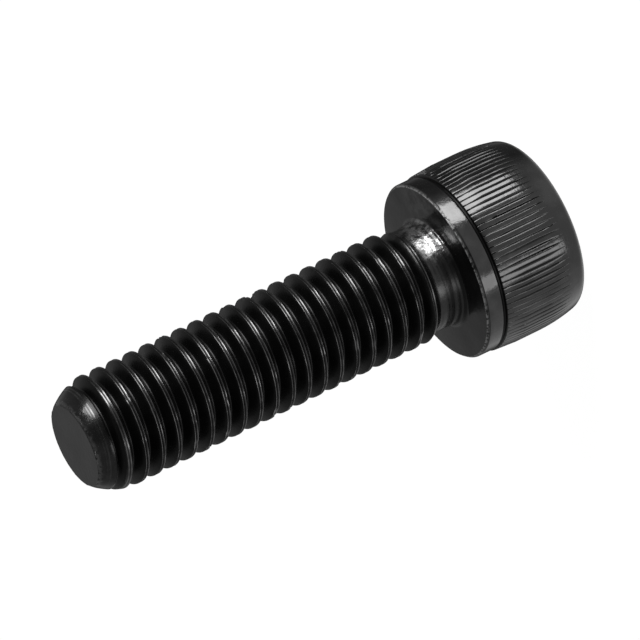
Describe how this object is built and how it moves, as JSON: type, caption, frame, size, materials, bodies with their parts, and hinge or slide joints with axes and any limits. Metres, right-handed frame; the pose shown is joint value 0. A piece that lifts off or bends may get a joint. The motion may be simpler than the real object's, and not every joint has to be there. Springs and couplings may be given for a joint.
{
  "type": "hex socket cap screw",
  "caption": "Black socket head cap screw with knurled cylindrical head, hex socket and a left-hand metric thread up to the head.",
  "frame": {"origin": "centre of the bearing face under the head, on the screw's axis", "axes": "+Z along the shank from the head to the point; the crown and the socket's mouth face -Z; +X through a corner of the hex socket"},
  "size_m": [0.013, 0.013, 0.036],
  "materials": {
    "black_oxide": "black oxide, satin to gloss"
  },
  "bodies": {
    "root": {"cap_screw": "black_oxide"}
  },
  "joints": []
}
